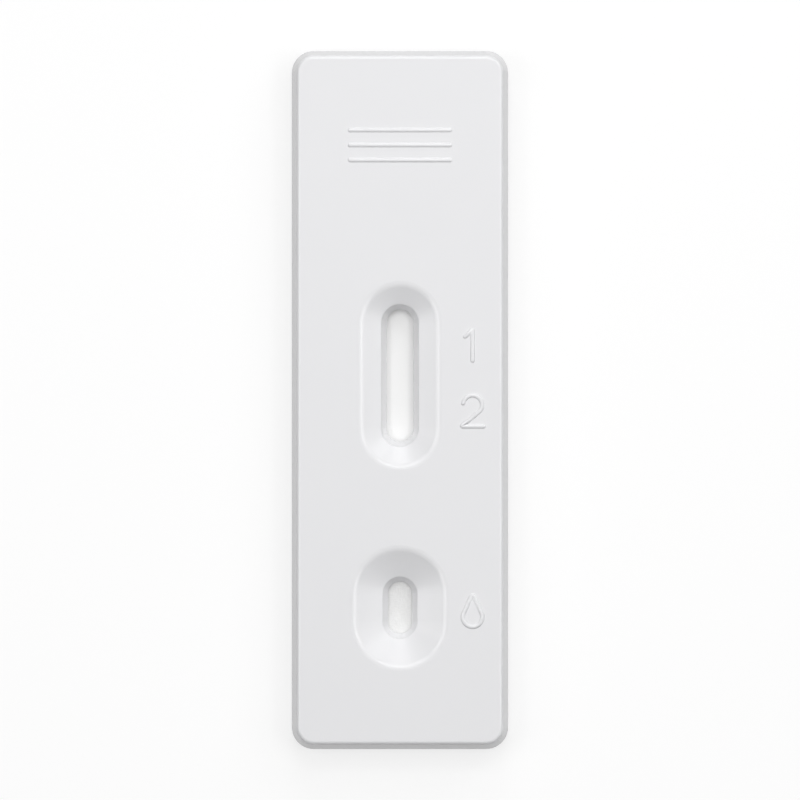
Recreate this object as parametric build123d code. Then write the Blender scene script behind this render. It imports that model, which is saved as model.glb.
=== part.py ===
from build123d import *
import math
import os

# Lateral flow cassette: two moulded half shells, pressed together over a test strip.
# Millimetres. X runs across, +Y along the strip towards the held end, +Z up.
# The origin is the middle of the underside, on the surface that the cassette lies on.

# Housing, measured at the parting plane, where it is widest
length = 70.0
width = 21.7
height = 5.0
parting_height = 2.3
corner_radius = 2.2
upper_draft = 12.0           # degrees that the sides lean in, above the parting plane
lower_draft = 2.0            # and below it
rim_fillet = 0.4             # round edge of the upper face
base_fillet = 0.6            # round edge of the underside
seam_break = 0.12            # both outer edges are broken here, which shows as a fine groove
wall = 1.1
roof = 1.1
floor = 1.0
cavity_chamfer = 0.35
least_inner_radius = 0.3     # smallest inner corner of the mould

# Lap joint: a tongue on the lower half stands inside a rebate of the upper half
lap_height = 0.5
lap_gap = 0.05
lap_end_gap = 0.1

# Read window: a slot at the foot of a sloping recess
window_y = 2.45
window_length = 14.3
window_width = 3.75
window_flare = 2.0           # how far the slope runs out beyond the slot, all round
window_slope_depth = 0.95
window_slot_draft = 15.0     # degrees
window_rim_radius = 1.5
window_air_gap = 0.2         # from the slot's lower edge to the membrane

# Sample well: the same form, shorter and wider, and it presses on the sample pad
well_to_conjugate = 4.75     # from the conjugate pad's near end to the middle of the well
well_length = 6.25
well_width = 3.45
well_flare = 2.85
well_slope_depth = 1.3
well_slot_draft = 22.0       # degrees
well_rim_radius = 1.5

funnel_wall = 0.8            # wall of the collar round both slots, under the roof
slot_edge_fillet = 0.15      # edge between slope and slot

# Press pins on the upper half, in sockets of the lower half
pin_rows = 4
pin_sides = 6
pin_side_inset = 3.25        # from the side of the housing to the pin's axis
pin_end_inset = 6.0
socket_bore = 1.8
socket_wall = 0.6
socket_height = 1.8
pin_clearance = 0.02         # from the corners of a six-sided pin to the bore
pin_tip_gap = 0.3
pin_tip_chamfer = 0.25
pin_root_step = 0.45         # the pin's root is this much wider all round
pin_root_gap = 0.05          # from the root's shoulder to the socket

# Test strip
strip_width = 4.0
end_room = 3.9               # from each end wall to the backing card
rest_height = 0.5            # the card lies this high above the floor
card_thickness = 0.25
membrane_length = 25.0
membrane_thickness = 0.15
conjugate_length = 8.0
conjugate_thickness = 0.35
sample_thickness = 0.6
absorbent_thickness = 0.9
overlap = 2.0                # each layer reaches this far over the next
pad_ramp = 0.5               # length over which a pad climbs onto the layer below

# Channel that holds the strip in the lower half
channel_gap = 0.1
rail_thickness = 0.8
rail_height = 1.0
rail_count = 6
rail_spacing = 2.0
rest_count = 7
rest_thickness = 0.8
rest_end_inset = 1.0
brace_thickness = 0.8
brace_height = 0.6

# Bars under the roof that press the layers together
press_gap = 0.05
bar_thickness = 0.8
bar_overhang = 0.5           # beyond each side of the strip
bar_fillet = 0.2
wick_bar_count = 2

position_tolerance = 0.01    # for telling edges apart by where they lie

# The tongue and the lip outside it share the wall
tongue_thickness = (wall - lap_gap) / 2

# Levels
roof_underside = height - roof
card_base = floor + rest_height
card_top = card_base + card_thickness
membrane_top = card_top + membrane_thickness
conjugate_top = card_top + conjugate_thickness
sample_top = card_top + sample_thickness
absorbent_top = card_top + absorbent_thickness
socket_top = floor + socket_height

# Places along the strip
card_length = length - 2 * (wall + end_room)
card_start = -card_length / 2
card_end = card_length / 2
membrane_start = window_y - membrane_length / 2
membrane_end = window_y + membrane_length / 2
conjugate_end = membrane_start + overlap
conjugate_start = conjugate_end - conjugate_length
sample_end = conjugate_start + overlap
absorbent_start = membrane_end - overlap
well_y = conjugate_start - well_to_conjugate

# Pins and sockets share these places
pin_x = width / 2 - pin_side_inset
pin_first_y = pin_end_inset - length / 2
pin_pitch = (length - 2 * pin_end_inset) / (pin_rows - 1)
pin_places = [
    (side * pin_x, pin_first_y + row * pin_pitch)
    for row in range(pin_rows)
    for side in (-1, 1)
]


def housing_outline(inset):
    """The housing's outline at the parting plane, moved inwards."""
    radius = max(corner_radius - inset, least_inner_radius)
    return RectangleRounded(width - 2 * inset, length - 2 * inset, radius)


def half_block(inset, depth, draft):
    """A block that stands on the plane z = 0 and narrows upwards."""
    return extrude(housing_outline(inset), amount=depth, taper=draft)


def upper_edges(solid):
    """The highest level edges of a solid."""
    return solid.edges().group_by(Axis.Z)[-1]


def half_shell(depth, cover, draft, end_fillet):
    """An open box, upside down on the plane z = 0, with a broken outer edge at its mouth."""
    block = half_block(0, depth, draft)
    block = fillet(upper_edges(block), end_fillet)
    block = chamfer(block.edges().group_by(Axis.Z)[0], seam_break)
    cavity = half_block(wall, depth - cover, draft)
    return block - chamfer(upper_edges(cavity), cavity_chamfer)


def lap_ring(inner_inset, outer_inset, ring_height):
    """A straight ring that follows the housing's outline."""
    ring = housing_outline(outer_inset) - housing_outline(inner_inset)
    return extrude(ring, amount=ring_height)


def slot_sketch(slot, margin):
    """A slot with round ends that lies along Y, widened by a margin all round."""
    slot_length, slot_width = slot
    return SlotOverall(slot_length + 2 * margin, slot_width + 2 * margin, rotation=90)


def sinking_slot(sketch, depth, draft):
    """A slot that hangs from the plane z = 0 and narrows downwards."""
    return mirror(extrude(sketch, amount=depth, taper=draft), about=Plane.XY)


def level_edges(shell, centre_y, slot, margin, level):
    """The edges of one recess that lie in the level plane z = level."""
    slot_length, slot_width = slot
    return shell.edges().filter_by(
        lambda edge: abs(edge.center().Z - level) < position_tolerance
        and abs(edge.center().X) < slot_width / 2 + margin + position_tolerance
        and abs(edge.center().Y - centre_y) < slot_length / 2 + margin + position_tolerance
    )


def add_funnel(shell, centre_y, slot, flare, slope_depth, slot_draft, rim_radius, collar_base):
    """Sink one recess into the roof: a slope, a slot at its foot, and a collar round the slot."""
    slope_angle = math.degrees(math.atan(flare / slope_depth))
    slope = sinking_slot(slot_sketch(slot, flare), slope_depth, slope_angle)
    foot = height - slope_depth

    # The same slope one roof lower keeps the wall even, and the collar goes on down to the strip
    collar = extrude(slot_sketch(slot, funnel_wall), amount=roof_underside - collar_base)
    shell = shell + Pos(0, centre_y, roof_underside) * slope + Pos(0, centre_y, collar_base) * collar

    # The cut is twice as deep as the slot, so that it runs out through the collar
    slot_cut = sinking_slot(slot_sketch(slot, 0), 2 * (foot - collar_base), slot_draft)
    shell = shell - Pos(0, centre_y, height) * slope - Pos(0, centre_y, foot) * slot_cut

    shell = fillet(level_edges(shell, centre_y, slot, flare, height), rim_radius)
    return fillet(level_edges(shell, centre_y, slot, 0, foot), slot_edge_fillet)


def press_pin():
    """A stepped six-sided pin that hangs from the roof and runs down into a socket."""
    pin_radius = socket_bore / 2 - pin_clearance
    shoulder = socket_top + pin_root_gap
    tip = floor + pin_tip_gap
    pin = Pos(0, 0, tip) * extrude(RegularPolygon(pin_radius, pin_sides), amount=shoulder - tip)
    pin = chamfer(pin.edges().group_by(Axis.Z)[0], pin_tip_chamfer)
    root_sketch = RegularPolygon(pin_radius + pin_root_step, pin_sides)
    root = extrude(root_sketch, amount=roof_underside - shoulder)
    return pin + Pos(0, 0, shoulder) * root


def standing_box(size_x, size_y, size_z):
    """A box centred on the Z axis that stands on the plane z = 0."""
    return Box(size_x, size_y, size_z, align=(Align.CENTER, Align.CENTER, Align.MIN))


def press_bar(centre_y, layer_top):
    """A bar across the strip that hangs from the roof, just clear of the layer under it."""
    base = layer_top + press_gap
    bar = standing_box(strip_width + 2 * bar_overhang, bar_thickness, roof_underside - base)
    lower_edges = bar.edges().group_by(Axis.Z)[0].filter_by(Axis.X)
    return Pos(0, centre_y, base) * fillet(lower_edges, bar_fillet)


def make_top_shell():
    shell = half_shell(height - parting_height, roof, upper_draft, rim_fillet)
    shell = Pos(0, 0, parting_height) * shell
    tongue_inset = wall - tongue_thickness - lap_gap
    rebate = lap_ring(wall + cavity_chamfer, tongue_inset, lap_height + lap_end_gap)
    shell = shell - Pos(0, 0, parting_height) * rebate

    shell = add_funnel(
        shell,
        window_y,
        (window_length, window_width),
        window_flare,
        window_slope_depth,
        window_slot_draft,
        window_rim_radius,
        membrane_top + window_air_gap,
    )
    shell = add_funnel(
        shell,
        well_y,
        (well_length, well_width),
        well_flare,
        well_slope_depth,
        well_slot_draft,
        well_rim_radius,
        sample_top + press_gap,
    )

    pin = press_pin()
    shell = shell + [Pos(x, y, 0) * pin for x, y in pin_places]

    wick_flat_start = membrane_end + pad_ramp
    wick_pitch = (card_end - wick_flat_start) / (wick_bar_count + 1)
    bars = [
        press_bar((conjugate_start + sample_end) / 2, conjugate_top + sample_thickness),
        press_bar((membrane_start + conjugate_end) / 2, membrane_top + conjugate_thickness),
    ]
    bars += [
        press_bar(wick_flat_start + (number + 1) * wick_pitch, absorbent_top)
        for number in range(wick_bar_count)
    ]
    return shell + bars


def socket_boss():
    """A round boss on the floor with a bore for a press pin."""
    ring = Circle(socket_bore / 2 + socket_wall) - Circle(socket_bore / 2)
    return extrude(ring, amount=socket_height)


def channel_rails():
    """Broken rails along both sides of the strip, with a stop across each end of it."""
    inner = strip_width / 2 + channel_gap
    rail_length = (card_length - (rail_count - 1) * rail_spacing) / rail_count
    rail = standing_box(rail_thickness, rail_length, rail_height)
    rail_x = inner + rail_thickness / 2
    first_y = card_start + rail_length / 2
    pitch = rail_length + rail_spacing
    rails = [
        Pos(side * rail_x, first_y + number * pitch, floor) * rail
        for number in range(rail_count)
        for side in (-1, 1)
    ]
    stop = standing_box(2 * (inner + rail_thickness), rail_thickness, rail_height)
    stop_y = card_end + channel_gap + rail_thickness / 2
    return rails + [Pos(0, side * stop_y, floor) * stop for side in (-1, 1)]


def strip_rests():
    """Low ribs across the channel that the backing card lies on."""
    rest = standing_box(strip_width + 2 * channel_gap, rest_thickness, rest_height)
    first_y = card_start + rest_end_inset
    pitch = (card_length - 2 * rest_end_inset) / (rest_count - 1)
    return [Pos(0, first_y + number * pitch, floor) * rest for number in range(rest_count)]


def side_braces():
    """Low ribs from the rails into the side walls, midway between the sockets."""
    inner = strip_width / 2 + channel_gap + rail_thickness / 2
    outer = width / 2 - wall / 2
    brace = standing_box(outer - inner, brace_thickness, brace_height)
    brace_x = (inner + outer) / 2
    return [
        Pos(side * brace_x, pin_first_y + (row + 0.5) * pin_pitch, floor) * brace
        for row in range(pin_rows - 1)
        for side in (-1, 1)
    ]


def make_bottom_shell():
    shell = half_shell(parting_height, floor, lower_draft, base_fillet)
    shell = shell + lap_ring(wall, wall - tongue_thickness, -lap_height)
    shell = Pos(0, 0, parting_height) * mirror(shell, about=Plane.XY)
    boss = socket_boss()
    shell = shell + [Pos(x, y, floor) * boss for x, y in pin_places]
    return shell + channel_rails() + strip_rests() + side_braces()


def flat_layer(start, end, base, thickness):
    """A flat layer of the strip."""
    layer = Box(strip_width, end - start, thickness, align=(Align.CENTER, Align.MIN, Align.MIN))
    return Pos(0, start, base) * layer


def stepped_layer(low_end, step, high_end, low, high, thickness):
    """A layer that lies on one level and climbs to a higher one at the step."""
    toward_low = math.copysign(1, low_end - high_end)
    foot = step + toward_low * pad_ramp
    under = [(low_end, low), (foot, low), (step, high), (high_end, high)]
    over = [(place, level + thickness) for place, level in reversed(under)]
    profile = make_face(Polyline(*under, *over, close=True))
    return extrude(Plane.YZ * profile, amount=strip_width / 2, both=True)


def make_backing_card():
    return flat_layer(card_start, card_end, card_base, card_thickness)


def make_membrane():
    return flat_layer(membrane_start, membrane_end, card_top, membrane_thickness)


def make_conjugate_pad():
    return stepped_layer(
        conjugate_start, membrane_start, conjugate_end, card_top, membrane_top, conjugate_thickness
    )


def make_sample_pad():
    return stepped_layer(
        card_start, conjugate_start, sample_end, card_top, conjugate_top, sample_thickness
    )


def make_absorbent_pad():
    return stepped_layer(
        card_end, membrane_end, absorbent_start, card_top, membrane_top, absorbent_thickness
    )


nodes = {
    "top_shell": make_top_shell,
    "bottom_shell": make_bottom_shell,
    "backing_card": make_backing_card,
    "membrane": make_membrane,
    "conjugate_pad": make_conjugate_pad,
    "sample_pad": make_sample_pad,
    "absorbent_pad": make_absorbent_pad,
}

os.makedirs("parts", exist_ok=True)
for name, make in nodes.items():
    export_step(make(), f"parts/{name}.step")
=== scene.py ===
import math

import bmesh
import bpy
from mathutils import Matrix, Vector, noise


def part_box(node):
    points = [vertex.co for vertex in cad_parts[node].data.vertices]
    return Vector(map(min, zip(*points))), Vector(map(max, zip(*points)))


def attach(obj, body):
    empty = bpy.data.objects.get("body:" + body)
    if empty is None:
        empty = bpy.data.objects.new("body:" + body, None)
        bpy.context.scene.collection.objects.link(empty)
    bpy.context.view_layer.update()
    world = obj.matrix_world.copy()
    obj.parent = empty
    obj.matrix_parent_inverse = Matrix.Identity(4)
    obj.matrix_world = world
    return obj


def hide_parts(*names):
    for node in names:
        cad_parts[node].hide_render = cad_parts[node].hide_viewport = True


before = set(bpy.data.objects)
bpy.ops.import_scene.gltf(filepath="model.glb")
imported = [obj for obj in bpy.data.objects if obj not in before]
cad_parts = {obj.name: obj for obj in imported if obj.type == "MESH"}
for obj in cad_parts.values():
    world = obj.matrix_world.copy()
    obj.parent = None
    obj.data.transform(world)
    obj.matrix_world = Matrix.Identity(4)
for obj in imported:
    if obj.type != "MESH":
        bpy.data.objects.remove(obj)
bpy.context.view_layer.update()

# Lateral flow cassette, seen from straight above on a white sweep
mm = 0.001
print("frame loaded:", len(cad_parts), "nodes")


# Small helpers for the shader nodes
fineNoise = {"detail": 3.0, "roughness": 0.6}     # for the moulded grain and the fibres


def newMaterial(name):
    material = bpy.data.materials.new(name)
    material.use_nodes = True
    nodes = material.node_tree.nodes
    return material, nodes, material.node_tree.links, nodes["Principled BSDF"]


def noiseOn(nodes, links, coordinates, speck, detail=2.0, roughness=0.5):
    # speck is the size of one speck along x, y and z, in mm
    place = nodes.new("ShaderNodeMapping")
    place.inputs["Scale"].default_value = [1 / (side * mm) for side in speck]
    cloud = nodes.new("ShaderNodeTexNoise")
    cloud.inputs["Scale"].default_value = 1.0
    cloud.inputs["Detail"].default_value = detail
    cloud.inputs["Roughness"].default_value = roughness
    links.new(coordinates, place.inputs["Vector"])
    links.new(place.outputs["Vector"], cloud.inputs["Vector"])
    return cloud.outputs["Fac"]


def rangeOf(nodes, links, value, low, high, start=0.0, stop=1.0):
    remap = nodes.new("ShaderNodeMapRange")
    remap.inputs["From Min"].default_value = start
    remap.inputs["From Max"].default_value = stop
    remap.inputs["To Min"].default_value = low
    remap.inputs["To Max"].default_value = high
    links.new(value, remap.inputs["Value"])
    return remap.outputs["Result"]


def blendOf(nodes, links, factor, first, second):
    mix = nodes.new("ShaderNodeMix")
    mix.data_type = "RGBA"
    mix.inputs["A"].default_value = (*first, 1)
    mix.inputs["B"].default_value = (*second, 1)
    links.new(factor, mix.inputs["Factor"])
    return mix.outputs["Result"]


def highestOf(nodes, links, first, second):
    pick = nodes.new("ShaderNodeMath")
    pick.operation = "MAXIMUM"
    links.new(first, pick.inputs[0])
    links.new(second, pick.inputs[1])
    return pick.outputs["Value"]


def bumpOf(nodes, links, height, depth, below=None):
    # depth is the height of the relief, in mm
    bump = nodes.new("ShaderNodeBump")
    bump.inputs["Distance"].default_value = depth * mm
    links.new(height, bump.inputs["Height"])
    if below is not None:
        links.new(below, bump.inputs["Normal"])
    return bump.outputs["Normal"]


# The end of every mesh made here: smooth faces turned outwards, on the body root
def makePiece(mesh, name, material):
    for face in mesh.faces:
        face.smooth = True
    bmesh.ops.recalc_face_normals(mesh, faces=mesh.faces)
    data = bpy.data.meshes.new(name)
    mesh.to_mesh(data)
    mesh.free()
    data.materials.append(material)
    piece = bpy.data.objects.new(name, data)
    bpy.context.scene.collection.objects.link(piece)
    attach(piece, "root")
    return piece


# Housing plastic: white styrene out of a finely eroded mould
plastic = {
    "light": (0.815, 0.815, 0.828),
    "dark": (0.80, 0.80, 0.815),
    "cloud": (9, 9, 9),          # speck sizes in mm
    "grain": (0.14, 0.14, 0.14),
    "grainDepth": 0.004,         # mm
    "swell": (6, 6, 6),
    "swellDetail": 1.0,
    "swellDepth": 0.02,
    "roughness": (0.20, 0.28),
    "ior": 1.55,
}


def makePlastic():
    material, nodes, links, shader = newMaterial("housingPlastic")
    coordinates = nodes.new("ShaderNodeTexCoord").outputs["Object"]
    cloud = noiseOn(nodes, links, coordinates, plastic["cloud"])
    grain = noiseOn(nodes, links, coordinates, plastic["grain"], **fineNoise)
    swell = noiseOn(nodes, links, coordinates, plastic["swell"], detail=plastic["swellDetail"])
    tone = blendOf(nodes, links, cloud, plastic["dark"], plastic["light"])
    links.new(tone, shader.inputs["Base Color"])
    links.new(rangeOf(nodes, links, grain, *plastic["roughness"]), shader.inputs["Roughness"])
    surface = bumpOf(nodes, links, swell, plastic["swellDepth"])
    links.new(bumpOf(nodes, links, grain, plastic["grainDepth"], surface), shader.inputs["Normal"])
    shader.inputs["IOR"].default_value = plastic["ior"]
    return material


plasticMaterial = makePlastic()
for nodeName in ("top_shell", "bottom_shell"):
    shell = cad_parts[nodeName]
    shell.data.materials.clear()
    shell.data.materials.append(plasticMaterial)
print("housing finished")


# The strip's layers: a card, a film and three kinds of pressed fibre
layerLooks = {
    # in mm: thickness and length of a fibre, its relief, and the sway of the layer's faces and edges
    "backing_card": {
        "light": (0.87, 0.87, 0.85), "dark": (0.85, 0.85, 0.83),
        "fibre": (0.4, 0.4), "relief": 0.002, "roughness": 0.32, "sway": 0.004,
        "slot": "card_vinyl",
    },
    "membrane": {
        "light": (0.88, 0.88, 0.875), "dark": (0.86, 0.86, 0.855),
        "fibre": (0.05, 0.05), "relief": 0.006, "roughness": 0.6, "sway": 0.008,
        "slot": "membrane_film",
    },
    "conjugate_pad": {
        "light": (0.62, 0.30, 0.38), "dark": (0.47, 0.18, 0.26),
        "fibre": (0.04, 0.7), "relief": 0.03, "roughness": 0.85, "sway": 0.03,
        "slot": "conjugate_fibre",
    },
    "sample_pad": {
        "light": (0.88, 0.88, 0.875), "dark": (0.77, 0.77, 0.765),
        "fibre": (0.06, 0.6), "relief": 0.03, "roughness": 0.85, "sway": 0.04,
        "slot": "sample_paper",
    },
    "absorbent_pad": {
        "light": (0.89, 0.89, 0.88), "dark": (0.80, 0.80, 0.79),
        "fibre": (0.08, 0.5), "relief": 0.04, "roughness": 0.9, "sway": 0.05,
        "slot": "absorbent_paper",
    },
}
layerBuild = {
    "columns": 20,
    "station": 0.2,              # mm from one row of points to the next
    "ramp": 0.5,                 # mm in which a layer climbs onto the one under it
    "edge": 0.06,                # mm that the rim is pinched from above and below
    "edgePart": 3,               # and at most a third of the thickness
    "faceWaves": 900,            # waves to the metre in the upper face
    "edgeWaves": 1600,           # and along the cut edges
    "edgeSeed": 7,
    "fibreBand": (0.35, 0.75),   # noise levels where a fibre starts and where it is full
}


def makeFibre(name, look):
    material, nodes, links, shader = newMaterial(name)
    coordinates = nodes.new("ShaderNodeTexCoord").outputs["Object"]
    thick, long = look["fibre"]
    along = noiseOn(nodes, links, coordinates, (thick, long, thick), **fineNoise)
    across = noiseOn(nodes, links, coordinates, (long, thick, thick), **fineNoise)
    felt = highestOf(nodes, links, along, across)
    fibres = rangeOf(nodes, links, felt, 0, 1, *layerBuild["fibreBand"])
    links.new(blendOf(nodes, links, fibres, look["dark"], look["light"]), shader.inputs["Base Color"])
    links.new(bumpOf(nodes, links, fibres, look["relief"]), shader.inputs["Normal"])
    shader.inputs["Roughness"].default_value = look["roughness"]
    return material


def levelAt(y, profile):
    # height of a layer's underside, with an eased ramp where it steps up onto the next one
    toLow = math.copysign(1, profile["lowEnd"] - profile["step"])
    climb = 1 - min(max((y - profile["step"]) * toLow / (layerBuild["ramp"] * mm), 0), 1)
    eased = climb * climb * (3 - 2 * climb)
    return profile["low"] + (profile["high"] - profile["low"]) * eased


def driftAt(x, y, waves, seed):
    # soft noise between 0 and 1
    return 0.5 + 0.5 * noise.noise(Vector((x * waves, y * waves, seed)))


def layerSide(mesh, nodeName, thickness, profile, isOver):
    # the points of a layer's upper or under side, row by row along the strip
    low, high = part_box(nodeName)
    columns = layerBuild["columns"]
    rows = round((high.y - low.y) / (layerBuild["station"] * mm))
    edge = min(layerBuild["edge"] * mm, thickness / layerBuild["edgePart"])
    sway = layerLooks[nodeName]["sway"] * mm
    side = []
    for row in range(rows + 1):
        y = low.y + (high.y - low.y) * row / rows
        line = []
        for column in range(columns + 1):
            x = low.x + (high.x - low.x) * column / columns
            z = levelAt(y, profile)
            if isOver:
                z = z + thickness - sway * driftAt(x, y, layerBuild["faceWaves"], len(nodeName))
            inward = Vector(((column == 0) - (column == columns), (row == 0) - (row == rows), 0))
            if any(inward):
                z += -edge if isOver else edge
            inset = sway * driftAt(y, x, layerBuild["edgeWaves"], layerBuild["edgeSeed"])
            line.append(mesh.verts.new(Vector((x, y, z)) + inward * inset))
        side.append(line)
    return side


def joinSides(mesh, under, over):
    rows, columns = len(over) - 1, len(over[0]) - 1
    for row in range(rows):
        for column in range(columns):
            mesh.faces.new((over[row][column], over[row][column + 1],
                            over[row + 1][column + 1], over[row + 1][column]))
            mesh.faces.new((under[row + 1][column], under[row + 1][column + 1],
                            under[row][column + 1], under[row][column]))
    rim = [(0, column) for column in range(columns)]
    rim += [(row, columns) for row in range(rows)]
    rim += [(rows, column) for column in range(columns, 0, -1)]
    rim += [(row, 0) for row in range(rows, 0, -1)]
    for place, (row, column) in enumerate(rim):
        nextRow, nextColumn = rim[(place + 1) % len(rim)]
        mesh.faces.new((under[row][column], under[nextRow][nextColumn],
                        over[nextRow][nextColumn], over[row][column]))


def makeLayer(nodeName, thickness, profile):
    look = layerLooks[nodeName]
    mesh = bmesh.new()
    under, over = [layerSide(mesh, nodeName, thickness, profile, isOver) for isOver in (False, True)]
    joinSides(mesh, under, over)
    piece = makePiece(mesh, nodeName + "_layer", makeFibre(nodeName + "Fibre", look))
    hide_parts(nodeName)


def flatOn(level):
    return {"low": level, "high": level, "lowEnd": 0, "step": 0}


def layStrip():
    # the membrane lies on the card, and each pad laps over the end of the layer beside it
    low = {name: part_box(name)[0] for name in layerLooks}
    high = {name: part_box(name)[1] for name in layerLooks}
    cardTop, membraneTop = high["backing_card"].z, high["membrane"].z
    conjugateThickness = high["conjugate_pad"].z - membraneTop
    conjugateTop = cardTop + conjugateThickness
    makeLayer("backing_card", cardTop - low["backing_card"].z, flatOn(low["backing_card"].z))
    makeLayer("membrane", membraneTop - cardTop, flatOn(cardTop))
    makeLayer("conjugate_pad", conjugateThickness, {
        "low": cardTop, "high": membraneTop,
        "lowEnd": low["conjugate_pad"].y, "step": low["membrane"].y,
    })
    makeLayer("sample_pad", high["sample_pad"].z - conjugateTop, {
        "low": cardTop, "high": conjugateTop,
        "lowEnd": low["sample_pad"].y, "step": low["conjugate_pad"].y,
    })
    makeLayer("absorbent_pad", high["absorbent_pad"].z - membraneTop, {
        "low": cardTop, "high": membraneTop,
        "lowEnd": high["absorbent_pad"].y, "step": high["membrane"].y,
    })


layStrip()
print("strip laid")


# Raised marks on the upper face, each one a round-backed stroke sunk a little into it
marks = {
    "stroke": 0.25,              # half the width of a stroke, mm
    "back": 0.20,                # half its height
    "relief": 0.13,              # how far it stands above the face
    "sides": 12,
    "arcStep": 9,                # degrees
    "fewestSteps": 2,            # in any arc
    "capTurns": (75, 50, 25),    # degrees round a stroke's end, from its tip inwards
    "column": 7.26,              # where the marks beside the window and the well stand, mm
    "lineRows": (5.5, -1.08),
    "dropRow": -21.1,
    "gripRows": (27.0, 25.5, 24.0),
    "gripLength": 10.5,
}
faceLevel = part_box("top_shell")[1].z


def arcOf(centreX, centreY, radius, start, stop):
    steps = max(marks["fewestSteps"], round(abs(stop - start) / marks["arcStep"]))
    turns = [math.radians(start + (stop - start) * step / steps) for step in range(steps + 1)]
    return [(centreX + radius * math.cos(turn), centreY + radius * math.sin(turn)) for turn in turns]


def strokeStations(points, closed):
    # each point with the stroke's heading there and its share of the full section
    count = len(points)
    stations = []
    for index, point in enumerate(points):
        before = points[index - 1] if index or closed else point
        after = points[(index + 1) % count] if index < count - 1 or closed else point
        stations.append((point, (after - before).normalized(), 1.0))
    return stations


def capStations(station, outward):
    # smaller and smaller sections past an end, listed from the tip inwards
    point, heading = station[:2]
    turns = [math.radians(turn) for turn in marks["capTurns"]]
    return [(point + heading * marks["stroke"] * math.sin(turn) * outward, heading, math.cos(turn))
            for turn in turns]


def strokeRing(mesh, point, heading, share):
    level = faceLevel + (marks["relief"] - marks["back"]) * mm
    centre = Vector((point.x * mm, point.y * mm, level))
    sideways = Vector((heading.y, -heading.x, 0))
    ring = []
    for side in range(marks["sides"]):
        turn = 2 * math.pi * side / marks["sides"]
        across = sideways * (marks["stroke"] * share * math.cos(turn) * mm)
        upward = Vector((0, 0, marks["back"] * share * math.sin(turn) * mm))
        ring.append(mesh.verts.new(centre + across + upward))
    return ring


def raiseStroke(name, path, place, closed=False):
    points = [Vector((x + place[0], y + place[1], 0)) for x, y in path]
    stations = strokeStations(points, closed)
    if not closed:
        tail = capStations(stations[-1], 1)
        stations = capStations(stations[0], -1) + stations + tail[::-1]
    mesh = bmesh.new()
    rings = [strokeRing(mesh, *station) for station in stations]
    following = rings[1:] + rings[:1] if closed else rings[1:]
    for first, second in zip(rings, following):
        for side in range(marks["sides"]):
            beside = (side + 1) % marks["sides"]
            mesh.faces.new((first[side], first[beside], second[beside], second[side]))
    if not closed:
        mesh.faces.new(rings[0])
        mesh.faces.new(reversed(rings[-1]))
    piece = makePiece(mesh, name, plasticMaterial)


# Middle lines of the strokes in mm, each mark about its own middle
foot = -1.55                     # the level that both figures stand on
flag = [(-0.75, 0.85), (-0.4, 1.15)] + arcOf(-0.12, 1.43, 0.12, 45, 0)
stem = [(0, 1.3), (0, 0), (0, foot)]
bow = arcOf(0, 0.6, 0.95, 170, -45) + [(-0.2, -0.82)]
heel = arcOf(-0.98, -1.48, 0.07, 135, 270)
base = [(0, foot), (1.1, foot)]
belly = arcOf(0, -0.6, 0.98, 29, -209)
tip = arcOf(0, 1.35, 0.18, 151, 29)

figures = (flag + stem, bow + heel + base)
for number, (figure, row) in enumerate(zip(figures, marks["lineRows"]), 1):
    raiseStroke(f"line_mark_{number}", figure, (marks["column"], row))
raiseStroke("drop_mark", belly + tip, (marks["column"], marks["dropRow"]), closed=True)
reach = marks["gripLength"] / 2 - marks["stroke"]
for number, row in enumerate(marks["gripRows"], 1):
    raiseStroke(f"grip_rib_{number}", [(-reach, 0), (0, 0), (reach, 0)], (0, row))
print("marks raised")


# Floor, light and camera
stage = {
    "floorSize": 4.0,            # metres
    "floorDrop": 0.02 * mm,      # keeps the floor clear of the underside
    "floorGrey": 0.5,            # what the floor throws back on the sides
    "floorWhite": 0.98,
    "whiteShare": 0.72,          # part of the seen floor that is plain white, the rest shows shadow
    "floorRoughness": 0.9,
    "worldLight": 0.03,
    "panelDistance": 0.5,        # metres from the cassette to each lamp
}
panelSizes = {"box": (0.26, 0.26), "strip": (0.30, 0.08)}     # metres
softboxes = {
    # azimuth from +Y towards +X, elevation, kind of panel and radiance
    "northBox": (0, 30, "box", 2.7),
    "cornerBox": (45, 35, "box", 2.2),
    "highBox": (0, 60, "box", 0.9),
    "topBox": (0, 89, "box", 0.7),
    "eastBox": (90, 50, "box", 1.5),
    "westBox": (-90, 50, "box", 2.1),
    "northStrip": (0, 65, "strip", 5.5),
    "eastStrip": (90, 65, "strip", 5.0),
    "westStrip": (-90, 65, "strip", 3.8),
    "southStrip": (180, 65, "strip", 1.3),
}
view = {
    "distance": 1.0,             # metres above the upper face
    "span": 0.080,               # metres across the picture
    "sensor": 36.0,              # mm
    "clip": (0.01, 20),          # metres
}


def seenMask(nodes, links):
    # 1 where the camera sees the surface, straight or in gloss and glass
    path = nodes.new("ShaderNodeLightPath").outputs
    shiny = highestOf(nodes, links, path["Is Glossy Ray"], path["Is Transmission Ray"])
    return highestOf(nodes, links, path["Is Camera Ray"], shiny)


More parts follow.
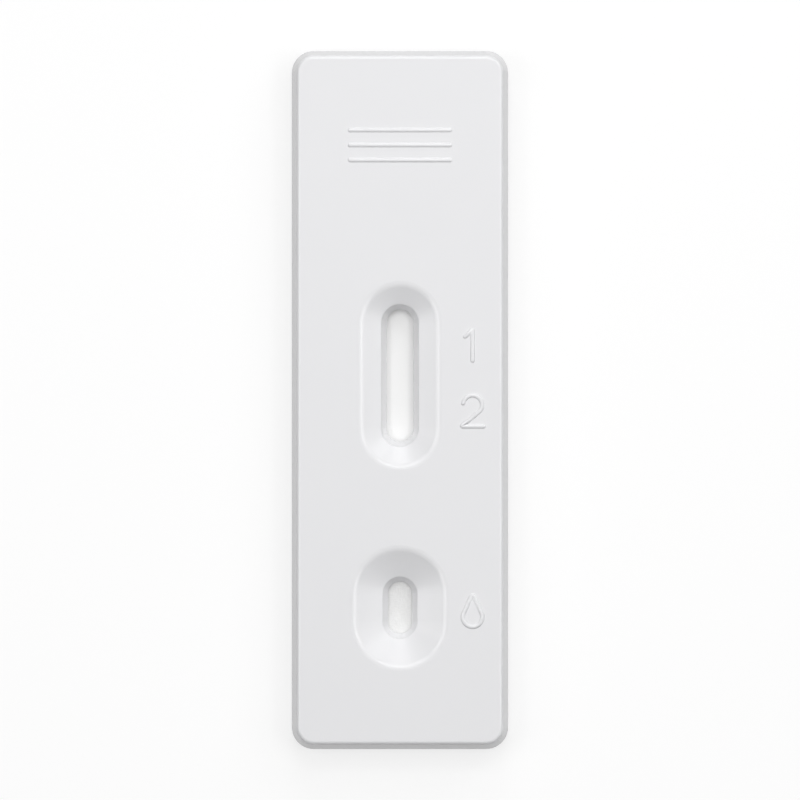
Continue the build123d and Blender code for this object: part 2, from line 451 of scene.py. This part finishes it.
def makeFloor():
    bpy.ops.mesh.primitive_plane_add(size=stage["floorSize"], location=(0, 0, -stage["floorDrop"]))
    floor = bpy.context.object
    floor.name = "floor"
    material, nodes, links, shader = newMaterial("floorSweep")
    seen = seenMask(nodes, links)
    grey, white = [(tone, tone, tone) for tone in (stage["floorGrey"], stage["floorWhite"])]
    links.new(blendOf(nodes, links, seen, grey, white), shader.inputs["Base Color"])
    shader.inputs["Roughness"].default_value = stage["floorRoughness"]
    shader.inputs["Specular IOR Level"].default_value = 0.0
    plain = nodes.new("ShaderNodeEmission")
    both = nodes.new("ShaderNodeMixShader")
    links.new(rangeOf(nodes, links, seen, 0, stage["whiteShare"]), both.inputs["Fac"])
    links.new(shader.outputs["BSDF"], both.inputs[1])
    links.new(plain.outputs["Emission"], both.inputs[2])
    links.new(both.outputs["Shader"], nodes["Material Output"].inputs["Surface"])
    floor.data.materials.append(material)


def makeWorld():
    world = bpy.data.worlds.new("tent")
    bpy.context.scene.world = world
    world.use_nodes = True
    nodes, links = world.node_tree.nodes, world.node_tree.links
    background = nodes["Background"].inputs
    background["Color"].default_value = (1, 1, 1, 1)
    seen = nodes.new("ShaderNodeLightPath").outputs["Is Camera Ray"]
    links.new(rangeOf(nodes, links, seen, stage["worldLight"], 1.0), background["Strength"])


def makeSoftbox(name, azimuth, elevation, panel, radiance):
    turn, rise = math.radians(azimuth), math.radians(elevation)
    outward = math.cos(rise)
    direction = Vector((math.sin(turn) * outward, math.cos(turn) * outward, math.sin(rise)))
    width, height = panelSizes[panel]
    lamp = bpy.data.lights.new(name, "AREA")
    lamp.shape = "RECTANGLE"
    lamp.size = width
    lamp.size_y = height
    lamp.energy = radiance * math.pi * width * height
    stand = bpy.data.objects.new(name, lamp)
    stand.location = direction * stage["panelDistance"]
    stand.rotation_euler = direction.to_track_quat("Z", "Y").to_euler()
    bpy.context.scene.collection.objects.link(stand)


def makeCamera():
    camera = bpy.data.cameras.new("overhead")
    camera.sensor_width = view["sensor"]
    camera.lens = view["sensor"] * view["distance"] / view["span"]
    camera.clip_start, camera.clip_end = view["clip"]
    seat = bpy.data.objects.new("overhead", camera)
    seat.location = (0, 0, faceLevel + view["distance"])
    bpy.context.scene.collection.objects.link(seat)
    bpy.context.scene.camera = seat


makeFloor()
makeWorld()
for name, setting in softboxes.items():
    makeSoftbox(name, *setting)
makeCamera()
bpy.context.scene.view_settings.view_transform = "Standard"
print("stage set")
